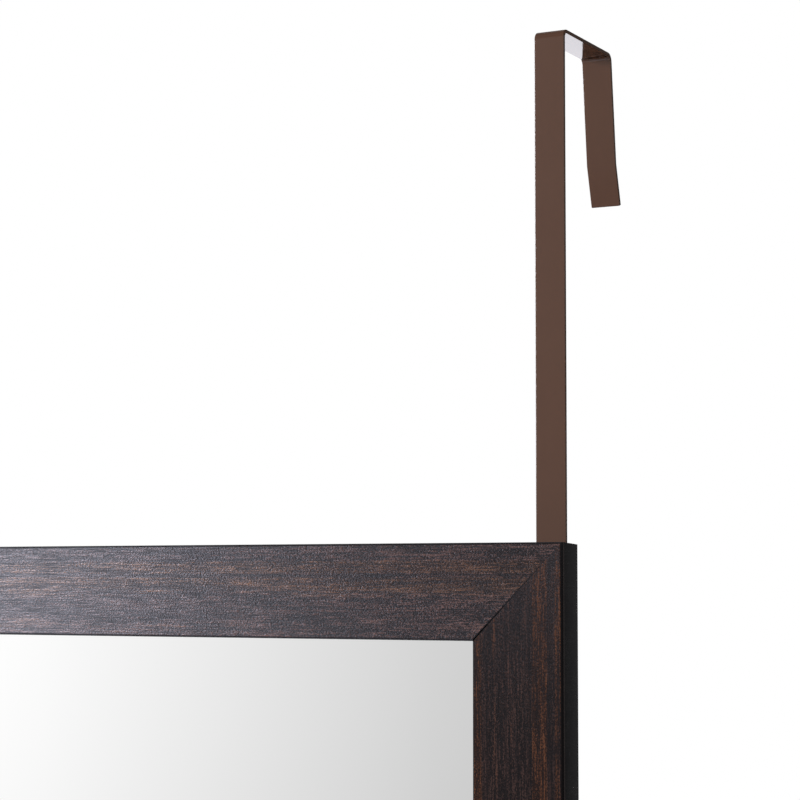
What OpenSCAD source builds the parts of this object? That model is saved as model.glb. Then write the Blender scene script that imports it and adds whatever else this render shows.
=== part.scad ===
// Over-the-door mirror. A mitred frame of rebated moulding holds the glass, its cushion sheet and
// its backing board. Two bent flat-steel hooks are screwed behind the side rails and hang on the
// top edge of a door. Long slots in the hooks let the mirror be set higher or lower.
// X runs across the mirror, Y runs from the room towards the door, and Z is up.
// The origin is on the top edge of the door, midway between the hooks and level with the door-side
// face of their front straps.

/* [Frame] */
// Width over the frame
frame_w = 362; // [300:1:500]
// Height over the frame
frame_h = 1276; // [700:1:1600]
// Width of the moulding's face
rail_w = 38; // [34:0.5:60]
// Depth of the moulding from front to back
rail_d = 16.5; // [13.5:0.5:24]
// How far the outer side leans in towards its back edge
side_draft = 0.7; // [0:0.1:1.5]
// Thickness of the lip in front of the glass
lip_t = 5; // [3:0.1:5.5]
// Width of the rebate behind the lip
rebate_w = 10; // [6:0.5:12]
// Rounding of the outer front edge
outer_edge_r = 1.2; // [0.4:0.1:2.5]
// Rounding of the sight edge beside the glass
sight_edge_r = 1; // [0.4:0.1:2]
// Opening of each mitre at the sight edge
mitre_gap = 0.5; // [0.1:0.05:1]

/* [Glass and backing] */
// Thickness of the mirror glass
glass_t = 3; // [2:0.5:4]
// Thickness of the cushion sheet behind the glass
cushion_t = 1.5; // [0.5:0.5:2]
// Thickness of the backing board
board_t = 3; // [2:0.5:4]
// Play between the glass and each wall of the rebate
glass_play = 0.3; // [0.1:0.1:1]
// Width of a retaining point
point_w = 8; // [5:0.5:12]
// Length of a retaining point
point_l = 14; // [9:0.5:18]
// Thickness of a retaining point
point_t = 0.6; // [0.3:0.1:0.9]
// How far a retaining point is driven into the rail
point_bite = 5; // [3:0.5:7]
// Largest distance between retaining points
point_pitch = 160; // [80:5:400]
// Distance from the end of the rebate to the first point
point_margin = 70; // [30:5:100]

/* [Corner nails] */
// Length of each wing of a corner nail
nail_wing = 6; // [3:0.5:7]
// Thickness of the nail strip
nail_t = 0.5; // [0.3:0.1:1]
// Depth that a nail is driven from the back
nail_depth = 8; // [5:0.5:10]
// Angle between a wing and the mitre
nail_angle = 30; // [20:1:45]
// Distance from the outer side to the first nail's tip
nail_first = 5; // [3:0.5:8]
// Step from the first nail to the second
nail_step = 11; // [9:0.5:12]

/* [Hooks] */
// Width of the flat steel strap
strap_w = 12.7; // [10:0.1:20]
// Thickness of the strap
strap_t = 1.5; // [1:0.1:2.5]
// Height from the top of the frame to the top of the hook
hook_rise = 203; // [160:1:300]
// Thickest door that the hook goes over
door_max = 44.5; // [35:0.5:55]
// Distance from the outer side of the frame to the strap
strap_inset = 5.5; // [3:0.5:8]
// Inside radius of the two top bends
bend_r = 2; // [1:0.1:4]
// Straight length of the back leg above its flare
leg_len = 42.5; // [30:0.5:90]
// Lean of the back leg away from the door
leg_lean = 6; // [0:0.5:10]
// Extra turn of the flared tip
flare_angle = 10; // [2:0.5:20]
// Length of the flared tip
flare_len = 17.5; // [8:0.5:25]
// Corner radius of the flared tip
tip_r = 0.5; // [0.3:0.1:4]
// Corner radius of the front strap's lower end
end_r = 4; // [1:0.5:4.5]
// Distance that the hook can be lowered
hook_travel = 100; // [40:5:120]

/* [Hook fasteners] */
// Radius of the screw's shank
screw_r = 1.95; // [1.5:0.05:2]
// Length of the shank under the head
screw_len = 10; // [7:0.5:10.5]
// Distance between the two screws of a hook
screw_pitch = 40; // [25:1:60]
// Radius of the screw head
head_r = 4; // [3:0.1:4.2]
// Height of the screw head
head_h = 1.5; // [1:0.1:2.5]
// Width of one bar of the cross recess
recess_w = 0.9; // [0.5:0.1:1.2]
// Length of one bar of the cross recess
recess_l = 4; // [2.5:0.1:4.5]
// Depth of the cross recess
recess_depth = 0.8; // [0.4:0.1:0.9]
// Radius of the washer
washer_r = 5; // [4.5:0.1:6]
// Thickness of the washer
washer_t = 0.8; // [0.5:0.1:1.2]
// Outer radius of the threaded insert
insert_r = 3; // [2.6:0.1:3.8]
// Length of the threaded insert
insert_len = 8; // [5:0.5:9]
// Depth of one knurl groove round the insert
insert_groove = 0.3; // [0.1:0.05:0.4]
// Play between the shank and each side of the slot
slot_play = 0.3; // [0.3:0.05:0.8]
// Length of slot left past each screw at the ends of the travel
slot_spare = 0.5; // [0.2:0.1:3]
// Steel left below the slot, down to the end of the strap
slot_end = 9; // [4:0.5:20]
// Height of frame that hides the top of the slot
slot_cover = 8; // [2:0.5:20]

/* [Bumpers] */
// Radius of a rubber bumper
bumper_r = 6; // [4:0.5:8]
// Distance from the middle of the mirror to a bumper
bumper_x = 120; // [60:1:125]
// Clearance between the screw heads and the door
head_clear = 0.2; // [0.1:0.1:2]
// Rounding of the bumper's edge
bumper_edge_r = 1; // [0.3:0.1:2]

/* [Hidden] */

// Faces of true rounds
$fn = 64;
// Overshoot of every cut, so that no cut ends in a face
cut = 1;
// Clearance round the threaded insert in its hole
insert_fit = 0.05;
// Clearance between the shank and the insert's thread
thread_fit = 0.05;
// Clearance between the shank and the washer
washer_fit = 0.25;
// Room left in the rail past the tip of the screw
tip_room = 0.5;
// Length of the sharpened end of a retaining point
point_tip = 2;
// How far the back leg runs on into its bend, so that the two are one piece of steel
bend_lap = 0.02;

// Heights of the frame
frame_top = strap_t - hook_rise;
frame_bottom = frame_top - frame_h;
frame_mid = (frame_top + frame_bottom) / 2;
// Planes along Y: the straps lie on the back of the rails, and their back face is at Y = 0
rail_back = -strap_t;
rail_front = rail_back - rail_d;
// Depth from the front of the moulding to the back of each sheet
glass_back = lip_t + glass_t;
cushion_back = glass_back + cushion_t;
board_back = cushion_back + board_t;
// Solid width of the moulding outside the rebate
land_w = rail_w - rebate_w;
// Size of the sheets in the rebate
sheet_w = frame_w - 2 * land_w - 2 * glass_play;
sheet_h = frame_h - 2 * land_w - 2 * glass_play;

// Bumpers stand clear of the screw heads, and the door lies against them
bumper_h = strap_t + washer_t + head_h + head_clear;
door_face = rail_back + bumper_h;
hook_gap = door_face + door_max;
bumper_z_step = land_w / 2;

// Middle of each strap
strap_x = frame_w / 2 - strap_inset - strap_w / 2;
// Slot and screws: at rest the slot is hidden, and the screws are at its lower end
slot_w = 2 * (screw_r + slot_play);
screw_drop = slot_cover + slot_w / 2 + slot_spare + hook_travel;
upper_screw_z = frame_top - screw_drop;
lower_screw_z = upper_screw_z - screw_pitch;
slot_top = upper_screw_z + hook_travel + slot_spare;
slot_bottom = lower_screw_z - slot_spare;
strap_end = slot_bottom - slot_w / 2 - slot_end;

// Evenly spaced places over a span, no further apart than the pitch
function spread(span, pitch) =
    let (gaps = ceil(span / pitch))
    [for (i = [0 : gaps]) -span / 2 + i * span / gaps];

// Puts its children at one side of the frame: 0 top, 1 right, 2 bottom, 3 left. There X runs along
// the rail, Y goes back from the front face, and Z is 0 at the outer side and falls to the glass.
module at_side(side) {
    reach = side % 2 == 0 ? frame_h / 2 : frame_w / 2;
    translate([0, rail_front, frame_mid])
        rotate([0, 90 * side, 0])
            translate([0, 0, reach])
                children();
}

// Length of the rail at one side
function side_length(side) = side % 2 == 0 ? frame_w : frame_h;

// Corner left outside a rounding of radius r, with the corner itself at the origin
module outside_rounding(r) {
    difference() {
        translate([-cut, -cut]) square(r + cut);
        translate([r, r]) circle(r = r);
    }
}

// Section of the moulding: front face at y = 0, and an outer side that leans in from x = 0
module moulding_section() {
    difference() {
        polygon([[0, 0], [rail_w, 0], [rail_w, rail_d], [side_draft, rail_d]]);
        translate([land_w, lip_t]) square([rebate_w + cut, rail_d]);
        outside_rounding(outer_edge_r);
        translate([rail_w, 0]) mirror([1, 0]) outside_rounding(sight_edge_r);
    }
}

// Front view of a mitred rail. The mitre is tight over its outer half and opens towards the glass.
module mitred_outline(length) {
    half = length / 2;
    opening = mitre_gap / sqrt(2);
    polygon([
        [-half - cut, -cut],
        [half + cut, -cut],
        [half - rail_w / 2, rail_w / 2],
        [half - rail_w - opening, rail_w],
        [half - rail_w - opening, rail_w + cut],
        [-half + rail_w + opening, rail_w + cut],
        [-half + rail_w + opening, rail_w],
        [-half + rail_w / 2, rail_w / 2]
    ]);
}

// One length of moulding with both ends mitred
module mitred_rail(length) {
    intersection() {
        rotate([0, 90, 0])
            linear_extrude(height = length + 2 * cut, center = true) moulding_section();
        rotate([-90, 0, 0])
            translate([0, 0, -cut]) linear_extrude(height = rail_d + 2 * cut) mitred_outline(length);
    }
}

// A rail at its side of the frame, cut for the nails and the points that are driven into it
module rail(side) {
    difference() {
        at_side(side) mitred_rail(side_length(side));
        nail_pairs();
        at_side(side) point_row(side);
    }
}

// Holes in a side rail for the threaded inserts; the side is 1 on the right and -1 on the left
module insert_holes(hand) {
    hole_depth = max(insert_len, screw_len - washer_t - strap_t) + tip_room;
    at_screws(hand)
        translate([0, rail_back + cut, 0])
            rotate([90, 0, 0]) cylinder(r = insert_r + insert_fit, h = hole_depth + cut);
}

module top_rail() {
    color("#4a3a36") rail(0);
}

module right_rail() {
    color("#453531")
        difference() {
            rail(1);
            insert_holes(1);
        }
}

module bottom_rail() {
    color("#4a3a36") rail(2);
}

module left_rail() {
    color("#453531")
        difference() {
            rail(3);
            insert_holes(-1);
        }
}

// V of two wings that straddles the mitre at the far end of a rail, its tip towards the outer corner
module corner_nail() {
    for (turn = [-nail_angle, nail_angle])
        rotate([0, 135 + turn, 0])
            translate([0, 0, -nail_t / 2])
                cube([nail_wing, nail_depth, nail_t]);
}

// Two nails in each corner, with their tips on the mitre and their heads flush with the rails' back
module nail_pairs() {
    for (side = [0 : 3], place = [nail_first, nail_first + nail_step])
        at_side(side)
            translate([side_length(side) / 2 - place, rail_d - nail_depth, -place])
                corner_nail();
}

module corner_nails() {
    color("#9a9a9c") nail_pairs();
}

// A flat sheet in the rebate, between two depths behind the front of the moulding
module sheet(from_depth, to_depth) {
    translate([-sheet_w / 2, rail_front + from_depth, frame_mid - sheet_h / 2])
        cube([sheet_w, to_depth - from_depth, sheet_h]);
}

module mirror_glass() {
    color("#dfe3e6") sheet(lip_t, glass_back);
}

module cushion_sheet() {
    color("#e8e6e0") sheet(glass_back, cushion_back);
}

module backing_board() {
    color("#8a6b4c") sheet(cushion_back, board_back);
}

// Flat steel point: its sharp end is in the rail, and its tail lies on the backing board
module retaining_point() {
    translate([0, 0, -land_w + point_bite])
        rotate([-90, 0, 0])
            linear_extrude(height = point_t)
                polygon([
                    [0, 0],
                    [point_w / 2, point_tip],
                    [point_w / 2, point_l],
                    [-point_w / 2, point_l],
                    [-point_w / 2, point_tip]
                ]);
}

// The points along one side of the rebate
module point_row(side) {
    span = side_length(side) - 2 * land_w - 2 * point_margin;
    for (x = spread(span, point_pitch))
        translate([x, board_back, 0]) retaining_point();
}

module retaining_points() {
    color("#a9aaac")
        for (side = [0 : 3])
            at_side(side) point_row(side);
}

// Sector of bent strap, seen from the side: Y runs to the right and Z up. It starts at one angle,
// counted from the right, and its inner face has radius r.
module bend_side(start, sweep, r) {
    reach = 2 * (r + strap_t);
    intersection() {
        difference() {
            circle(r = r + strap_t);
            circle(r = r);
        }
        polygon([
            [0, 0],
            reach * [cos(start), sin(start)],
            reach * [cos(start + sweep / 2), sin(start + sweep / 2)],
            reach * [cos(start + sweep), sin(start + sweep)]
        ]);
    }
}

// Puts its children at the top of the back leg, turned with its lean. There the inner face of the
// strap is at x = 0, and the leg runs down from y = 0.
module at_leg() {
    translate([hook_gap - bend_r, -bend_r])
        rotate(leg_lean)
            translate([bend_r, 0])
                children();
}

// Side view of the back leg: straight, then kinked away from the door at its tip
module leg_side() {
    tip = [flare_len * sin(flare_angle), -leg_len - flare_len * cos(flare_angle)];
    polygon([
        [0, bend_lap],
        [0, -leg_len],
        tip,
        tip + strap_t * [cos(flare_angle), sin(flare_angle)],
        [strap_t, -leg_len + strap_t * tan(flare_angle / 2)],
        [strap_t, bend_lap]
    ]);
}

// Side view of the whole hook, bent from one strap: the front strap, the top bar, and the back
// leg, which leans away from the door and ends in a tip flared to ride over the door's edge
module hook_side() {
    translate([-strap_t, strap_end]) square([strap_t, -bend_r - strap_end]);
    translate([bend_r, -bend_r]) bend_side(90, 90, bend_r);
    translate([bend_r, 0]) square([hook_gap - 2 * bend_r, strap_t]);
    translate([hook_gap - bend_r, -bend_r]) bend_side(leg_lean, 90 - leg_lean, bend_r);
    at_leg() leg_side();
}

// Turns a side view in Y and Z into a solid that is centred on X
module from_side(width) {
    rotate([90, 0, 90]) linear_extrude(height = width, center = true) children();
}

// Slot for the two screws, with round ends
module strap_slot() {
    translate([-slot_w / 2, -strap_t - cut, slot_bottom])
        cube([slot_w, strap_t + 2 * cut, slot_top - slot_bottom]);
    for (z = [slot_bottom, slot_top])
        translate([0, cut, z]) rotate([90, 0, 0]) cylinder(r = slot_w / 2, h = strap_t + 2 * cut);
}

// What the two roundings take off the lower end of a strap, whose face is at y = 0
module end_rounding(r) {
    for (hand = [0, 1])
        mirror([hand, 0, 0])
            translate([-strap_w / 2, 0, 0])
                rotate([90, 0, 0])
                    linear_extrude(height = 4 * strap_t, center = true) outside_rounding(r);
}

// One hook, cut from strap, slotted, rounded at both ends and bent
module hook() {
    difference() {
        from_side(strap_w) hook_side();
        strap_slot();
        translate([0, 0, strap_end]) end_rounding(end_r);
        translate([0, hook_gap - bend_r, -bend_r])
            rotate([leg_lean, 0, 0])
                translate([0, bend_r, -leg_len])
                    rotate([flare_angle, 0, 0])
                        translate([0, 0, -flare_len])
                            end_rounding(tip_r);
    }
}

module left_hook() {
    color("#5c473c") translate([-strap_x, 0, 0]) hook();
}

module right_hook() {
    color("#5c473c") translate([strap_x, 0, 0]) hook();
}

// Puts its children at both screws of one hook
module at_screws(hand) {
    for (z = [upper_screw_z, lower_screw_z])
        translate([hand * strap_x, 0, z]) children();
}

// Low round-edged head with a cross recess, on a plain shank that points into the rail
module hook_screw() {
    translate([0, washer_t, 0])
        difference() {
            rotate([90, 0, 0]) {
                cylinder(r = screw_r, h = screw_len);
                rotate([180, 0, 0]) screw_head();
            }
            for (turn = [0, 90])
                rotate([0, turn, 0])
                    translate([-recess_l / 2, head_h - recess_depth, -recess_w / 2])
                        cube([recess_l, recess_depth + cut, recess_w]);
        }
}

// Head turned from a disc, its top edge rounded over half of its height
module screw_head() {
    edge_r = head_h / 2;
    rotate_extrude()
        difference() {
            square([head_r, head_h]);
            translate([head_r, head_h]) rotate(180) outside_rounding(edge_r);
        }
}

module left_screws() {
    color("#b5b5b8") at_screws(-1) hook_screw();
}

module right_screws() {
    color("#b5b5b8") at_screws(1) hook_screw();
}

// Plain washer on the door-side face of the strap
module hook_washer() {
    rotate([-90, 0, 0])
        difference() {
            cylinder(r = washer_r, h = washer_t);
            translate([0, 0, -cut]) cylinder(r = screw_r + washer_fit, h = washer_t + 2 * cut);
        }
}

module left_washers() {
    color("#c0c0c2") at_screws(-1) hook_washer();
}

module right_washers() {
    color("#c0c0c2") at_screws(1) hook_washer();
}

// Brass bush, flush with the back of the rail, with three knurled bands between two grooves
module screw_insert() {
    band = insert_len / 5;
    translate([0, rail_back, 0])
        rotate([90, 0, 0])
            difference() {
                cylinder(r = insert_r, h = insert_len);
                translate([0, 0, -cut]) cylinder(r = screw_r + thread_fit, h = insert_len + 2 * cut);
                for (z = [band, 3 * band])
                    translate([0, 0, z])
                        difference() {
                            cylinder(r = insert_r + cut, h = band);
                            translate([0, 0, -cut])
                                cylinder(r = insert_r - insert_groove, h = band + 2 * cut);
                        }
            }
}

module left_inserts() {
    color("#b08d48") at_screws(-1) screw_insert();
}

module right_inserts() {
    color("#b08d48") at_screws(1) screw_insert();
}

// Rubber disc on the back of a rail, its door-side edge rounded
module bumper(x_hand, z) {
    color("#2a2a2b")
        translate([x_hand * bumper_x, rail_back, z])
            rotate([-90, 0, 0])
                rotate_extrude()
                    difference() {
                        square([bumper_r, bumper_h]);
                        translate([bumper_r, bumper_h]) rotate(180) outside_rounding(bumper_edge_r);
                    }
}

module upper_left_bumper() {
    bumper(-1, frame_top - bumper_z_step);
}

module upper_right_bumper() {
    bumper(1, frame_top - bumper_z_step);
}

module lower_left_bumper() {
    bumper(-1, frame_bottom + bumper_z_step);
}

module lower_right_bumper() {
    bumper(1, frame_bottom + bumper_z_step);
}

top_rail();
right_rail();
bottom_rail();
left_rail();
corner_nails();
mirror_glass();
cushion_sheet();
backing_board();
retaining_points();
left_hook();
right_hook();
left_screws();
right_screws();
left_washers();
right_washers();
left_inserts();
right_inserts();
upper_left_bumper();
upper_right_bumper();
lower_left_bumper();
lower_right_bumper();
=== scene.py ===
"""Over-the-door mirror: a mitred woodgrain frame that hangs on two bent flat-steel hooks.

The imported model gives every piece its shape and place. Each section below dresses one piece, or one
group of like pieces: its colours, its finish and the small rounding that its edges have.
"""

import bmesh
import bpy
import math
import numpy as np
from mathutils import Matrix, Vector


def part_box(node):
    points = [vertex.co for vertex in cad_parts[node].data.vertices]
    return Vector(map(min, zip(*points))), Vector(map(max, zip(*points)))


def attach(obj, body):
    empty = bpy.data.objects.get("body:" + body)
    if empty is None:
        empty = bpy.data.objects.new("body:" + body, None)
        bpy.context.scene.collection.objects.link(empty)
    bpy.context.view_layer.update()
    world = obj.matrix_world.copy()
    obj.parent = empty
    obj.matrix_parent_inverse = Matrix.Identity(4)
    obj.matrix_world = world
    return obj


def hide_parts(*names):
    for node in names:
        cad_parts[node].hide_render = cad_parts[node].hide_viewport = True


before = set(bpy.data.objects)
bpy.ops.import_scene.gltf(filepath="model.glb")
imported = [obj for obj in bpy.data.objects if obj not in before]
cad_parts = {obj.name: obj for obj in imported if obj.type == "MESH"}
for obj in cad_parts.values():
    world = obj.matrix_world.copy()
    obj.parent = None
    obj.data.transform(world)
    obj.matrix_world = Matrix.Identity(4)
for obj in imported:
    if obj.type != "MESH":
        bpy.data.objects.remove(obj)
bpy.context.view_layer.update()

# ---- Camera -------------------------------------------------------------------------------------
# It stands about 0.9 m from the frame's top right corner, to the right of it and a little below, and
# looks up and to the left. The lens and the place were worked out from the edges of frame and hook.
camera_place = Vector((0.5242, -0.8074, -0.2184))
camera_yaw = math.radians(27.603)
camera_pitch = math.radians(4.719)
camera_roll = math.radians(0.082)
camera_data = bpy.data.cameras.new("camera")
camera_data.lens = 101.51
camera_data.sensor_width = 36.0
camera_data.clip_end = 50.0
camera = bpy.data.objects.new("camera", camera_data)
camera.matrix_world = (
    Matrix.Translation(camera_place)
    @ Matrix.Rotation(camera_yaw, 4, "Z")
    @ Matrix.Rotation(math.radians(90.0) + camera_pitch, 4, "X")
    @ Matrix.Rotation(camera_roll, 4, "Z")
)
bpy.context.scene.collection.objects.link(camera)
bpy.context.scene.camera = camera
bpy.context.scene.view_settings.view_transform = "Standard"


# ---- Room ---------------------------------------------------------------------------------------
# A white studio with a pale floor where the foot of the door would be. A large soft box stands in
# front on the left, so the surround that glass and paint show is brighter there, and darkest behind
# on the right.
def shader(node_tree, kind, **inputs):
    """Adds one node and sets or links its inputs. An underscore in a name stands for a blank."""
    node = node_tree.nodes.new(kind)
    for name, value in inputs.items():
        wire(node_tree, node, name.replace("_", " "), value)
    return node


def wire(node_tree, node, name, value):
    """Sets a node's input to a value, or links it if the value is another node's output.

    The input goes by its name, or by i0 for the first one, i1 for the second, and so on.
    """
    socket = node.inputs[int(name[1:]) if name[0] == "i" and name[1:].isdigit() else name]
    if isinstance(value, bpy.types.NodeSocket):
        node_tree.links.new(value, socket)
    elif isinstance(value, (tuple, list)) and len(value) == 3 and len(socket.default_value) == 4:
        socket.default_value = (*value, 1.0)
    else:
        socket.default_value = value


def maths(node_tree, operation, *values):
    """Result of a Math node for numbers or other nodes' outputs."""
    node = node_tree.nodes.new("ShaderNodeMath")
    node.operation = operation
    for i, value in enumerate(values):
        wire(node_tree, node, f"i{i}", value)
    return node.outputs[0]


def spline(node_tree, value, stops, smooth=True):
    """A number that follows (place, level) stops, read with a grey colour ramp."""
    ramp = node_tree.nodes.new("ShaderNodeValToRGB")
    ramp.color_ramp.interpolation = "EASE" if smooth else "LINEAR"
    node_tree.links.new(value, ramp.inputs[0])
    for i, (place, level) in enumerate(stops):
        stop = ramp.color_ramp.elements[i] if i < 2 else ramp.color_ramp.elements.new(place)
        stop.position = place
        stop.color = (level, level, level, 1.0)
    return ramp.outputs[0]


room = bpy.data.worlds.new("room")
bpy.context.scene.world = room
room.use_nodes = True
sky = room.node_tree
sky.nodes.clear()
direction = shader(sky, "ShaderNodeTexCoord").outputs["Generated"]
towards = shader(sky, "ShaderNodeSeparateXYZ", Vector=direction).outputs
to_left = maths(sky, "MULTIPLY", towards[0], -1.0)
to_front = maths(sky, "MULTIPLY", towards[1], -1.0)
round_the_room = maths(sky, "ARCTAN2", to_left, to_front)
round_the_room = maths(sky, "MULTIPLY_ADD", round_the_room, 0.5 / math.pi, 0.5)
# Degrees from straight in front towards the left, and how bright the wall is there
wall_levels = (
    (-180, 0.10), (-125, 0.12), (-90, 0.26), (-45, 0.50), (0, 0.58), (16, 0.60), (26, 0.705),
    (37.5, 1.11), (44, 1.12), (60, 0.80), (85, 0.72), (115, 0.85), (150, 1.00), (180, 0.10),
)
wall_range = 1.3
wall_stops = [(angle / 360 + 0.5, level / wall_range) for angle, level in wall_levels]
wall_level = spline(sky, round_the_room, wall_stops, False)
# Height from -1 straight below to 1 straight above, and the share of the wall's brightness there
height_levels = ((-1.0, 0.60), (-0.30, 0.82), (0.0, 1.00), (0.25, 1.08), (0.60, 0.45), (1.0, 0.30))
height_range = 1.1
height_stops = [((height + 1) / 2, level / height_range) for height, level in height_levels]
height_level = spline(sky, maths(sky, "MULTIPLY_ADD", towards[2], 0.5, 0.5), height_stops)
glossy_level = maths(sky, "MULTIPLY", height_level, wall_range * height_range)
plain_level = 0.20
white = (1.0, 1.0, 1.0)
glossy_light = shader(sky, "ShaderNodeBackground", Color=wall_level, Strength=glossy_level)
plain_light = shader(sky, "ShaderNodeBackground", Color=white, Strength=plain_level)
white_light = shader(sky, "ShaderNodeBackground", Color=white, Strength=1.0)
ray = shader(sky, "ShaderNodeLightPath")
seen_in_gloss = shader(
    sky,
    "ShaderNodeMixShader",
    i0=ray.outputs["Is Glossy Ray"],
    i1=plain_light.outputs[0],
    i2=glossy_light.outputs[0],
)
seen_white = maths(sky, "MAXIMUM", ray.outputs["Is Camera Ray"], ray.outputs["Is Transmission Ray"])
shown = shader(
    sky, "ShaderNodeMixShader", i0=seen_white, i1=seen_in_gloss.outputs[0], i2=white_light.outputs[0]
)
shader(sky, "ShaderNodeOutputWorld", Surface=shown.outputs[0])


def soft_lamp(name, place, target, size, radiance, tint=white):
    """Hangs a rectangular soft box of the given radiance, which the camera doesn't see."""
    lamp = bpy.data.lights.new(name, "AREA")
    lamp.shape = "RECTANGLE"
    lamp.size, lamp.size_y = size
    lamp.energy = radiance * math.pi * size[0] * size[1]
    lamp.color = tint
    holder = bpy.data.objects.new(name, lamp)
    bpy.context.scene.collection.objects.link(holder)
    turn = (Vector(target) - Vector(place)).to_track_quat("-Z", "Y")
    holder.matrix_world = Matrix.Translation(place) @ turn.to_matrix().to_4x4()
    holder.visible_camera = False


soft_lamp(
    "left_soft_box",
    place=(-2.22, -2.26, 0.49),
    target=(0.08, 0.0, -0.2),
    size=(1.05, 1.0),
    radiance=46.5,
    tint=(0.94, 0.93, 1.0),
)
soft_lamp(
    "front_fill",
    place=(1.6, -3.0, 1.9),
    target=(0.0, 0.0, -0.6),
    size=(1.4, 1.2),
    radiance=1.4,
)
soft_lamp(
    "right_fill",
    place=(2.6, -0.3, 0.5),
    target=(0.18, 0.0, -0.4),
    size=(1.0, 1.4),
    radiance=2.0,
)
soft_lamp(
    "back_wall_light",
    place=(-1.0, 2.3, -0.60),
    target=(0.17, 0.0, -0.1),
    size=(1.8, 1.4),
    radiance=1.92,
    tint=(0.93, 0.92, 1.0),
)

floor_z = -2.03
floor_reach = 2.6
floor_grey = (0.84, 0.84, 0.84)
floor_roughness = 0.7
glow_for_camera = 0.36
square = ((-1, -1), (1, -1), (1, 1), (-1, 1))
floor_corners = [(x * floor_reach, y * floor_reach, floor_z) for x, y in square]
floor_mesh = bpy.data.meshes.new("floor")
floor_mesh.from_pydata(floor_corners, [], [(0, 1, 2, 3)])
floor = bpy.data.objects.new("floor", floor_mesh)
bpy.context.scene.collection.objects.link(floor)
floor_paint = bpy.data.materials.new("floor_paint")
floor_paint.use_nodes = True
floor_tree = floor_paint.node_tree
floor_surface = floor_tree.nodes["Principled BSDF"]
wire(floor_tree, floor_surface, "Base Color", floor_grey)
wire(floor_tree, floor_surface, "Roughness", floor_roughness)
wire(floor_tree, floor_surface, "Emission Color", white)
floor_ray = shader(floor_tree, "ShaderNodeLightPath")
floor_glow = maths(floor_tree, "MULTIPLY", floor_ray.outputs["Is Camera Ray"], glow_for_camera)
wire(floor_tree, floor_surface, "Emission Strength", floor_glow)
floor_mesh.materials.append(floor_paint)


# ---- Frame --------------------------------------------------------------------------------------
# Four mitred lengths of rebated moulding, wrapped in a printed and embossed woodgrain foil. The grain
# runs along each rail, and its relief spreads a highlight across the rail. The print stops at the
# rounded edges, and the sides are satin black, with a thin lighter line that is where the foil ends
# and, in part, a painted highlight of the rounded edge.
def finish_of(name):
    """A new material with its node tree, its Principled shader and the object's own coordinates."""
    material = bpy.data.materials.new(name)
    material.use_nodes = True
    tree = material.node_tree
    surface = tree.nodes["Principled BSDF"]
    place = shader(tree, "ShaderNodeTexCoord").outputs["Object"]
    return material, tree, surface, place


def noise(tree, vector, detail=3.0, rough=0.55):
    """Noise from 0 to 1 with one cell per unit of the given coordinates."""
    node = shader(tree, "ShaderNodeTexNoise", Vector=vector, Scale=1.0, Detail=detail, Roughness=rough)
    return node.outputs["Fac"]


def total(tree, *terms):
    """Sum of (value, weight) terms."""
    result = 0.0
    for value, weight in terms:
        result = maths(tree, "MULTIPLY_ADD", value, weight, result)
    return result


def blend_colours(tree, share, low, high):
    """The colour at a share from 0 to 1 between two others, each of them given or a node's output."""
    node = tree.nodes.new("ShaderNodeMix")
    node.data_type = "RGBA"
    for socket, value in ((node.inputs[0], share), (node.inputs[6], low), (node.inputs[7], high)):
        if isinstance(value, bpy.types.NodeSocket):
            tree.links.new(value, socket)
        else:
            socket.default_value = value if isinstance(value, float) else (*value, 1.0)
    return node.outputs[2]


def bump(tree, surface, height, depth):
    """Links a height from 0 to 1 to the shader's normal, with its real depth in metres."""
    node = shader(tree, "ShaderNodeBump", Height=height, Strength=1.0, Distance=depth)
    wire(tree, surface, "Normal", node.outputs[0])


def rising(tree, value, low, high, smooth=False):
    """A share that is 0 up to the low value and 1 from the high one on, and rises between them."""
    return spline(tree, value, [(0.0, 0.0), (low, 0.0), (high, 1.0)], smooth)


dust_begins = 0.75
dust_complete = 0.95
dust_roughness = 0.96


def dusty_above(tree, roughness):
    """The given roughness, but matt where the surface faces up and household dust lies on it.

    The dust grows with the upward share of the normal, from dust_begins to dust_complete.
    """
    normal = shader(tree, "ShaderNodeNewGeometry").outputs["Normal"]
    facing_up = shader(tree, "ShaderNodeSeparateXYZ", Vector=normal).outputs[2]
    dust = rising(tree, facing_up, dust_begins, dust_complete, smooth=True)
    clean = maths(tree, "SUBTRACT", 1.0, dust)
    return total(tree, (maths(tree, "MULTIPLY", roughness, clean), 1.0), (dust, dust_roughness))


def dress(material, *nodes):
    """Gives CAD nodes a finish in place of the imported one."""
    for name in nodes:
        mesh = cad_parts[name].data
        mesh.materials.clear()
        mesh.materials.append(material)


mm = 0.001
top_low, top_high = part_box("top_rail")
right_low, right_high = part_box("right_rail")
half_width = right_high.x
half_height = (right_high.z - right_low.z) / 2
middle_z = (right_high.z + right_low.z) / 2
rail_width = top_high.z - top_low.z
rail_depth = top_high.y - top_low.y
face_y = top_low.y
soot = (0.0045, 0.0025, 0.0020)
umber = (0.0110, 0.0042, 0.0022)
across_prints = ((0.1150, 0.0640, 0.0550), (0.1650, 0.0810, 0.0440), (0.1150, 0.0590, 0.0370))
# The uprights' prints are darker copies of the same colours: painted shade, as they catch less light
upright_prints_with_painted_shade = ((0.0490, 0.0265, 0.0215), (0.1380, 0.0500, 0.0195), (0.0920, 0.0360, 0.0170))
across_bands = (
    (0.0, 0.18), (3.0, 0.16), (6.3, 0.14), (7.3, 0.85), (11.4, 0.85), (12.2, 0.0), (13.0, 0.0),
    (13.7, 0.85), (17.5, 0.75), (20.5, 0.45), (24.0, 0.35), (27.5, 0.10), (33.0, 0.40), (38.0, 0.20),
)
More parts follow.
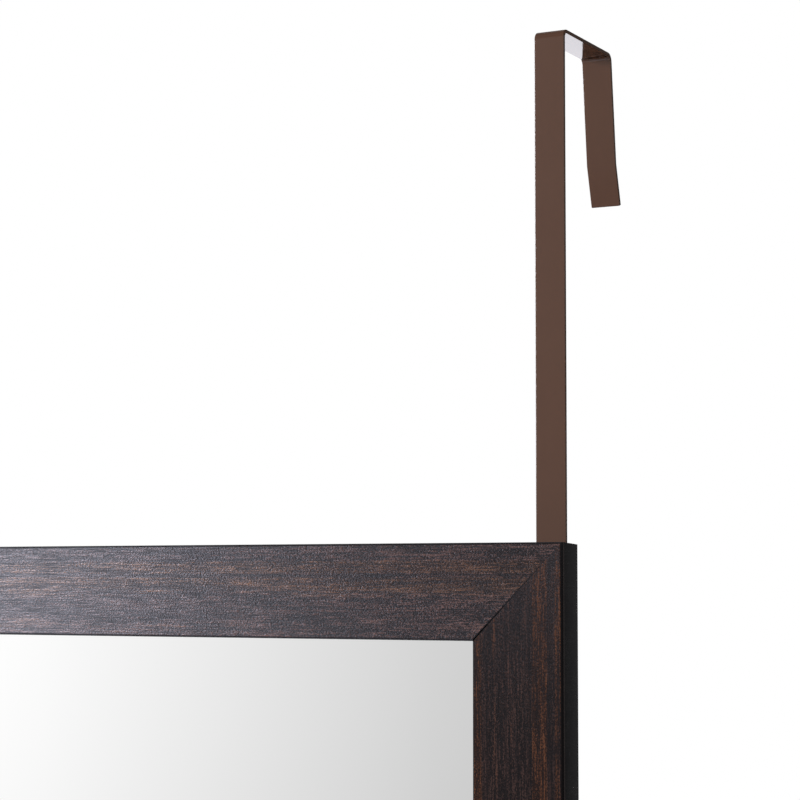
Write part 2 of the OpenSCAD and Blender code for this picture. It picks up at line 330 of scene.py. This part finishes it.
upright_bands = (
    (0.0, 0.10), (0.6, 0.60), (2.9, 0.70), (3.6, 0.25), (4.4, 0.10), (5.2, 0.0), (6.1, 0.05),
    (6.8, 0.95), (8.6, 1.0), (10.4, 0.72), (11.4, 0.75), (12.3, 0.90), (13.0, 0.40), (14.0, 0.0),
    (15.0, 0.20), (21.2, 0.34), (22.6, 0.32), (23.5, 0.05), (25.0, 0.24), (28.2, 0.45), (29.6, 0.50),
    (30.6, 0.15), (31.5, 0.05), (33.0, 0.30), (35.2, 0.85), (37.4, 0.95), (38.0, 0.50),
)
edge_black = (0.0030, 0.0012, 0.0008)
side_black = (0.0090, 0.0080, 0.0080)
side_black_behind = (0.0360, 0.0350, 0.0360)
# The thin line on the side: where the foil ends, and partly a painted highlight of the rounded edge
foil_end_and_highlight = (0.0450, 0.0350, 0.0330)
edge_width = 0.75 * mm
# A mitre is tight up to this distance from the outer side, and then open by this share of the distance
mitre_opens_at = 9.0 * mm
mitre_opens_by = 0.018
side_begins = 0.95 * mm
edge_line_front = 1.2 * mm
edge_line_back = 2.2 * mm
edge_line_reach = 1.0 * mm
lift_across = 0.37
warmth_weight = 0.82
grit_off_bands = 0.45
grit_rise_in_bands = 2.4
pore_darkness = 0.7
satin_roughness = 0.36
pore_roughness = 0.12
grit_polish = 0.12
foil_tint = (0.84, 0.88, 1.0)
foil_stretch = 0.9


def moulding(name, along, gloss, prints, relief_depth, band_weight, bands_at, deepening):
    """The foil on the rails that run along X or Z, where gloss is its specular level.

    The prints are its charcoal, chestnut and deeper brown; the uprights get darker copies of the same
    foil's colours, which is painted shade. The bands are (millimetres from the outer side, warmth), and
    band_weight is what they count for beside chance. The deepening is (place along the rail from 0 to
    1, share of the deeper brown).
    """
    charcoal, chestnut, deep_brown = prints
    material, tree, surface, place = finish_of(name)
    parts = shader(tree, "ShaderNodeSeparateXYZ", Vector=place).outputs
    x, y = parts[0], parts[1]
    up = maths(tree, "SUBTRACT", parts[2], middle_z)
    if along == "X":
        run, side = x, up
        half_length, half_breadth = half_width, half_height
        over_x, over_z, slice_of_noise = 0.0, 1.0, 3.7
    else:
        run, side = up, x
        half_length, half_breadth = half_height, half_width
        over_x, over_z, slice_of_noise = 1.0, 0.0, 8.3
    across = maths(tree, "SUBTRACT", half_breadth, maths(tree, "ABSOLUTE", side))
    depth = maths(tree, "SUBTRACT", y, face_y)
    seed = maths(tree, "MULTIPLY", maths(tree, "SIGN", side), slice_of_noise)

    def grain(run_length, width, lift, detail=2.0, rough=0.55):
        """Noise whose cells have the given length along the grain and width across it, in metres.

        The lift gives each layer of the grain its own part of the noise.
        """
        cell = shader(
            tree,
            "ShaderNodeCombineXYZ",
            i0=maths(tree, "MULTIPLY_ADD", run, 1.0 / run_length, lift),
            i1=maths(tree, "MULTIPLY_ADD", across, 1.0 / width, lift * lift_across),
            i2=seed,
        )
        return noise(tree, cell.outputs[0], detail, rough)

    # Broad patches, long streaks, short fibres, specks and the dark open pores
    patch = grain(45 * mm, 4.0 * mm, lift=11.0, detail=3.0, rough=0.6)
    streak = grain(30 * mm, 0.90 * mm, lift=23.0, detail=3.0, rough=0.65)
    fibre = grain(7.5 * mm, 0.48 * mm, lift=5.0, rough=0.6)
    speck = grain(0.75 * mm, 0.50 * mm, lift=41.0, detail=1.0)
    pore = grain(12 * mm, 0.40 * mm, lift=67.0, rough=0.5)
    pore = rising(tree, pore, 0.50, 0.60)

    # The print: charcoal, and chestnut where bands and patches are warm, with darker grit in both
    band_stops = [(at * mm / rail_width, level) for at, level in bands_at]
    bands = spline(tree, maths(tree, "DIVIDE", across, rail_width), band_stops)
    drift = total(tree, (bands, band_weight), (patch, warmth_weight - band_weight), (streak, 0.36))
    warm = rising(tree, drift, 0.57, 0.70)
    grit = total(tree, (patch, 0.20), (streak, 0.28), (fibre, 0.36), (speck, 0.44))
    grit = rising(tree, grit, 0.61, 0.75)
    in_bands = maths(tree, "MULTIPLY_ADD", bands, grit_rise_in_bands, grit_off_bands)
    in_bands = maths(tree, "MINIMUM", 1.0, in_bands)
    dark_grit = maths(tree, "MULTIPLY", grit, in_bands)
    dark_print = blend_colours(tree, dark_grit, soot, charcoal)
    deeper = spline(tree, maths(tree, "MULTIPLY_ADD", run, 0.5 / half_length, 0.5), deepening)
    warm_print = blend_colours(tree, grit, umber, blend_colours(tree, deeper, chestnut, deep_brown))
    print_colour = blend_colours(tree, warm, dark_print, warm_print)
    print_colour = blend_colours(tree, maths(tree, "MULTIPLY", pore, pore_darkness), print_colour, soot)

    # Where the print stops: at the outer rounding, at the sight edge and where a mitre opens
    outer_black = maths(tree, "LESS_THAN", across, edge_width)
    sight_black = maths(tree, "GREATER_THAN", across, rail_width - edge_width)
    edge = maths(tree, "MAXIMUM", outer_black, sight_black)
    to_end = maths(tree, "SUBTRACT", half_length, maths(tree, "ABSOLUTE", run))
    from_mitre = maths(tree, "SUBTRACT", to_end, across)
    at_mitre = maths(tree, "LESS_THAN", from_mitre, maths(tree, "MULTIPLY", across, mitre_opens_by))
    at_mitre = maths(tree, "MULTIPLY", at_mitre, maths(tree, "GREATER_THAN", across, mitre_opens_at))
    edge = maths(tree, "MAXIMUM", edge, at_mitre)
    colour = blend_colours(tree, edge, print_colour, edge_black)

    # The satin black sides, a little greyer towards the back, with the thin line where the foil ends,
    # which is also partly a painted highlight of the rounded edge
    further_back = maths(tree, "DIVIDE", depth, rail_depth)
    side_colour = blend_colours(tree, further_back, side_black, side_black_behind)
    on_side = maths(tree, "GREATER_THAN", depth, side_begins)
    colour = blend_colours(tree, on_side, colour, side_colour)
    past_front = maths(tree, "GREATER_THAN", depth, edge_line_front)
    before_back = maths(tree, "LESS_THAN", depth, edge_line_back)
    line = maths(tree, "MULTIPLY", past_front, before_back)
    line = maths(tree, "MULTIPLY", line, maths(tree, "LESS_THAN", across, edge_line_reach))
    colour = blend_colours(tree, line, colour, foil_end_and_highlight)
    wire(tree, surface, "Base Color", colour)

    # The finish: smoother on bright grit, rougher in the pores, with a highlight across the grain
    satin = maths(tree, "MULTIPLY_ADD", pore, pore_roughness, satin_roughness)
    satin = maths(tree, "MULTIPLY_ADD", grit, -grit_polish, satin)
    wire(tree, surface, "Roughness", dusty_above(tree, satin))
    wire(tree, surface, "Specular IOR Level", gloss)
    wire(tree, surface, "Specular Tint", foil_tint)
    wire(tree, surface, "Anisotropic", foil_stretch)
    spread = shader(tree, "ShaderNodeCombineXYZ", i0=over_x, i1=0.0, i2=over_z)
    wire(tree, surface, "Tangent", spread.outputs[0])
    relief = total(tree, (streak, 0.25), (fibre, 0.48), (speck, 0.42))
    smooth = maths(tree, "MAXIMUM", edge, on_side)
    relief = maths(tree, "MULTIPLY", relief, maths(tree, "SUBTRACT", 1.0, smooth))
    bump(tree, surface, relief, relief_depth)
    return material


dress(
    moulding(
        "moulding_across",
        along="X",
        gloss=0.30,
        prints=across_prints,
        relief_depth=0.18 * mm,
        band_weight=0.40,
        bands_at=across_bands,
        deepening=((0.0, 0.0), (0.52, 0.0), (0.76, 1.0)),
    ),
    "top_rail",
    "bottom_rail",
)
dress(
    moulding(
        "moulding_upright",
        along="Z",
        gloss=0.155,
        prints=upright_prints_with_painted_shade,
        relief_depth=0.10 * mm,
        band_weight=0.50,
        bands_at=upright_bands,
        deepening=((0.0, 0.3), (0.86, 0.8), (0.95, 1.0)),
    ),
    "left_rail",
    "right_rail",
)


# ---- Mitre shade --------------------------------------------------------------------------------
# Dark wedges in the four mitres, where they open a little towards the glass: painted shade for the
# inside of the open joints. They lie just below the foil and keep the glass from showing through.
def stretched(tree, place, per_metre):
    """Coordinates scaled to so many pattern cells per metre along X, Y and Z."""
    node = shader(tree, "ShaderNodeMapping", Vector=place)
    node.inputs["Scale"].default_value = per_metre
    return node.outputs[0]


wedge_top = face_y + 1.1 * mm
wedge_bottom = face_y + 4.8 * mm
wedge_reach = 0.30 * mm
# Near black and dark brown for the wedges: painted shade inside the open mitres
mitre_shade_black = (0.004, 0.003, 0.003)
mitre_shade_brown = (0.014, 0.009, 0.007)
wedge_roughness = 0.6
wedge_mottling = 0.2


def shade_wedge_mesh():
    """Four thin wedges, one in each mitre.

    Measured in from the frame's two outer sides, a wedge's plan has its point at half the rail's width
    on both, and its wide end at the full width on one and the full width plus wedge_reach on the other.
    The plan is carried from wedge_top to wedge_bottom, and mirrored left to right and top to bottom.
    """
    full, further = rail_width, rail_width + wedge_reach
    plan = np.array([(full / 2, full / 2), (further, full), (full, further)])
    side, end = np.array([(-1, -1), (-1, 1), (1, -1), (1, 1)]).T.reshape(2, 4, 1, 1)
    depth = np.array([wedge_top, wedge_bottom]).reshape(1, 2, 1)
    x = side * (half_width - plan[:, 0])
    z = middle_z + end * (half_height - plan[:, 1])
    points = np.stack(np.broadcast_arrays(x, depth, z), axis=-1).reshape(-1, 3)
    caps = [(0, 1, 2), (5, 4, 3)]
    walls = [(0, 3, 4), (0, 4, 1), (1, 4, 5), (1, 5, 2), (2, 5, 3), (2, 3, 0)]
    wedge = np.array(caps + walls)
    faces = np.where(side * end > 0, wedge, wedge[:, ::-1]) + 6 * np.arange(4).reshape(4, 1, 1)
    mesh = bpy.data.meshes.new("mitre_shade_wedges")
    mesh.from_pydata(points.tolist(), [], faces.reshape(-1, 3).tolist())
    return mesh


mitre_shade_wedges = bpy.data.objects.new("mitre_shade_wedges", shade_wedge_mesh())
bpy.context.scene.collection.objects.link(mitre_shade_wedges)
# The wedges' finish: painted shade, mottled from near black to dark brown
material, tree, surface, place = finish_of("painted_mitre_shade")
wedge_mottle = noise(tree, stretched(tree, place, (900.0, 900.0, 900.0)))
wire(tree, surface, "Base Color", blend_colours(tree, wedge_mottle, mitre_shade_black, mitre_shade_brown))
wire(tree, surface, "Roughness", maths(tree, "MULTIPLY_ADD", wedge_mottle, wedge_mottling, wedge_roughness))
mitre_shade_wedges.data.materials.append(material)
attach(mitre_shade_wedges, "framed_mirror")

# ---- Mirror glass -------------------------------------------------------------------------------
# Float glass, silvered on its back and let into the rebate behind the lip. Only a trace of
# unevenness shows in it.
silver_low = (0.896, 0.896, 0.895)
silver_high = (0.904, 0.904, 0.903)
haze_roughness = 0.012
material, tree, surface, place = finish_of("silvered_glass")
haze = noise(tree, stretched(tree, place, (9.0, 9.0, 9.0)), 2.0)
wire(tree, surface, "Base Color", blend_colours(tree, haze, silver_low, silver_high))
wire(tree, surface, "Roughness", maths(tree, "MULTIPLY", haze, haze_roughness))
wire(tree, surface, "Metallic", 1.0)
dress(material, "mirror_glass")

# ---- Cushion sheet ------------------------------------------------------------------------------
# Plain brown corrugated card, cut to the size of the glass. It lies between the glass and the board
# and takes up their play, so that nothing rattles.
card_dark = (0.40, 0.29, 0.18)
card_pale = (0.55, 0.42, 0.28)
card_roughness = 0.9
material, tree, surface, place = finish_of("cushion_card")
pulp = noise(tree, stretched(tree, place, (700.0, 700.0, 240.0)), 4.0)
wire(tree, surface, "Base Color", blend_colours(tree, pulp, card_dark, card_pale))
wire(tree, surface, "Roughness", card_roughness)
dress(material, "cushion_sheet")

# ---- Backing board ------------------------------------------------------------------------------
# Brown hardboard, cut from a larger sheet and laid in with its smooth, slightly mottled side out. The
# retaining points hold it in the rebate.
board_brown = (0.165, 0.088, 0.046)
board_tan = (0.31, 0.185, 0.105)
board_roughness = 0.62
board_texture = 0.06 * mm
material, tree, surface, place = finish_of("hardboard")
mottle = noise(tree, stretched(tree, place, (28.0, 28.0, 28.0)), 5.0, 0.6)
flake = noise(tree, stretched(tree, place, (900.0, 900.0, 900.0)), 3.0, 0.6)
mottle_share = maths(tree, "MULTIPLY", mottle, 0.45)
flake_share = maths(tree, "MULTIPLY", flake, 0.55)
tone = spline(tree, maths(tree, "ADD", mottle_share, flake_share), [(0.3, 0.0), (0.7, 1.0)], False)
wire(tree, surface, "Base Color", blend_colours(tree, tone, board_brown, board_tan))
wire(tree, surface, "Roughness", board_roughness)
bump(tree, surface, flake, board_texture)
dress(material, "backing_board")

# ---- Small metal parts --------------------------------------------------------------------------
# Points of bare strip pushed into the wood behind the board, V-shaped nails across the mitres, and
# the zinc-plated screws and washers that clamp the straps to brass inserts in the uprights.
scratch_roughness = 0.14
scratch_depth = 0.01 * mm


def scratched_metal(name, dull, bright, cells, rough):
    """Metal with a cloudy, finely scratched surface, with so many cells of cloud per metre."""
    material, tree, surface, place = finish_of(name)
    cloud = noise(tree, stretched(tree, place, (cells, cells, cells)))
    scratch = noise(tree, stretched(tree, place, (300.0, 4200.0, 4200.0)), 2.0)
    cloud_share = maths(tree, "MULTIPLY", cloud, 0.7)
    scratch_share = maths(tree, "MULTIPLY", scratch, 0.3)
    share = maths(tree, "ADD", cloud_share, scratch_share)
    wire(tree, surface, "Base Color", blend_colours(tree, share, dull, bright))
    rougher = maths(tree, "MULTIPLY", share, scratch_roughness)
    wire(tree, surface, "Roughness", maths(tree, "ADD", rough, rougher))
    wire(tree, surface, "Metallic", 1.0)
    bump(tree, surface, scratch, scratch_depth)
    return material


# Each metal's dull and bright colour, cells of cloud per metre and least roughness, and its parts
small_metals = (
    ("point_steel", (0.24, 0.24, 0.25), (0.42, 0.42, 0.43), 260.0, 0.34, ("retaining_points",)),
    ("nail_steel", (0.30, 0.30, 0.31), (0.50, 0.50, 0.51), 400.0, 0.36, ("corner_nails",)),
    ("screw_steel", (0.36, 0.36, 0.38), (0.56, 0.56, 0.58), 500.0, 0.26,
     ("left_screws", "right_screws")),
    ("washer_steel", (0.32, 0.32, 0.34), (0.50, 0.50, 0.52), 420.0, 0.30,
     ("left_washers", "right_washers")),
    ("insert_brass", (0.56, 0.38, 0.14), (0.74, 0.54, 0.24), 500.0, 0.26,
     ("left_inserts", "right_inserts")),
)
for name, dull, bright, cells, rough, nodes in small_metals:
    dress(scratched_metal(name, dull, bright, cells, rough), *nodes)

# ---- Hooks --------------------------------------------------------------------------------------
# Flat steel strap, bent cold over two tight radii, flared at its tip and powder coated a glossy
# brown. The coat rounds every edge a little, which the bevel gives. Each strap stands for its
# plainer solid.
hook_edge_round = 0.25 * mm
hook_edge_angle = math.radians(40.0)
hook_flat_within = math.radians(0.3)
hook_brown = (0.0670, 0.0280, 0.0140)
hook_brown_thin = (0.0720, 0.0305, 0.0155)
paint_roughness = 0.08
paint_unevenness = 0.04
paint_specular = 0.5
peel_depth = 0.0008 * mm
material, tree, surface, place = finish_of("hook_paint")
shade = noise(tree, stretched(tree, place, (60.0, 60.0, 60.0)))
peel = noise(tree, stretched(tree, place, (700.0, 700.0, 700.0)), 2.0, 0.5)
wire(tree, surface, "Base Color", blend_colours(tree, shade, hook_brown, hook_brown_thin))
glossy = maths(tree, "MULTIPLY_ADD", shade, paint_unevenness, paint_roughness)
wire(tree, surface, "Roughness", dusty_above(tree, glossy))
wire(tree, surface, "Specular IOR Level", paint_specular)
bump(tree, surface, peel, peel_depth)
hook_paint = material


def coated_strap(node, name):
    """A copy of a hook with its flat faces made whole, its edges rounded and its bends smooth."""
    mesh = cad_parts[node].data.copy()
    strap = bpy.data.objects.new(name, mesh)
    bpy.context.scene.collection.objects.link(strap)
    shape = bmesh.new()
    shape.from_mesh(mesh)
    bmesh.ops.remove_doubles(shape, verts=shape.verts, dist=1e-6)
    bmesh.ops.dissolve_limit(
        shape, angle_limit=hook_flat_within, verts=shape.verts, edges=shape.edges, delimit={"NORMAL"}
    )
    shape.to_mesh(mesh)
    shape.free()
    mesh.materials.clear()
    mesh.materials.append(hook_paint)
    mesh.polygons.foreach_set("use_smooth", np.ones(len(mesh.polygons), bool))
    rounding = strap.modifiers.new("rounding", "BEVEL")
    rounding.width = hook_edge_round
    rounding.segments = 3
    rounding.limit_method = "ANGLE"
    rounding.angle_limit = hook_edge_angle
    flat_faces = strap.modifiers.new("flat_faces", "WEIGHTED_NORMAL")
    flat_faces.mode = "FACE_AREA"
    flat_faces.weight = 100
    return strap


for node, name in (("left_hook", "left_strap"), ("right_hook", "right_strap")):
    strap = coated_strap(node, name)
    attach(strap, node)
    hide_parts(node)

# ---- Bumpers ------------------------------------------------------------------------------------
# Matt black rubber discs, one near each corner, stuck to the back of the frame to keep it off the
# door. They show the grey bloom that rubber gets.
rubber_black = (0.014, 0.014, 0.015)
rubber_bloom = (0.032, 0.031, 0.031)
rubber_roughness = 0.55
bloom_roughness = 0.25
rubber_texture = 0.02 * mm
material, tree, surface, place = finish_of("bumper_rubber")
bloom = noise(tree, stretched(tree, place, (240.0, 240.0, 240.0)), 4.0)
pore = noise(tree, stretched(tree, place, (2600.0, 2600.0, 2600.0)), 2.0)
wire(tree, surface, "Base Color", blend_colours(tree, bloom, rubber_black, rubber_bloom))
bloomed = maths(tree, "MULTIPLY", bloom, bloom_roughness)
wire(tree, surface, "Roughness", maths(tree, "ADD", rubber_roughness, bloomed))
bump(tree, surface, pore, rubber_texture)
dress(material, "upper_left_bumper", "upper_right_bumper", "lower_left_bumper", "lower_right_bumper")
